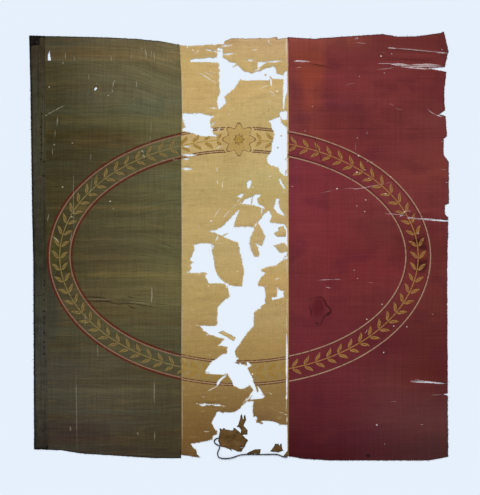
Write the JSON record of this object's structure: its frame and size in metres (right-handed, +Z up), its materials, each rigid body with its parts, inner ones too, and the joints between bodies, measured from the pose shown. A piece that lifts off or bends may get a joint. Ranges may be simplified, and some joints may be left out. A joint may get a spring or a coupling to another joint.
{
  "type": "tattered flag",
  "caption": "Old silk flag of three upright panels, laid open and flat, its buff middle torn into holes, tongues and scraps.",
  "frame": {"origin": "under the middle of the flag, on the surface that it lies on", "axes": "+X from the hoist edge to the fly edge, +Y from the foot to the head, +Z up out of the face"},
  "size_m": [1.616, 1.652, 0.0062],
  "materials": {
    "olive_silk": "faded and soiled silk taffeta, low sheen",
    "buff_silk": "worn and soiled silk taffeta, low sheen",
    "crimson_silk": "faded silk taffeta, low sheen",
    "hoist_band": "matt dark doubled cloth",
    "corner_patch": "matt near-black cloth",
    "rolled_hem": "matt dark stained cloth",
    "soiled_silk": "brittle brown-stained silk"
  },
  "bodies": {
    "root": {"hoist_panel": "olive_silk", "centre_panel": "buff_silk", "fly_panel": "crimson_silk", "hoist_band": "hoist_band", "corner_patch": "corner_patch", "hem_cord": "rolled_hem", "scrap_foot": "soiled_silk", "scrap_hem": "soiled_silk", "scrap_corner": "soiled_silk", "scrap_middle": "soiled_silk", "scrap_seam": "buff_silk"}
  },
  "joints": []
}
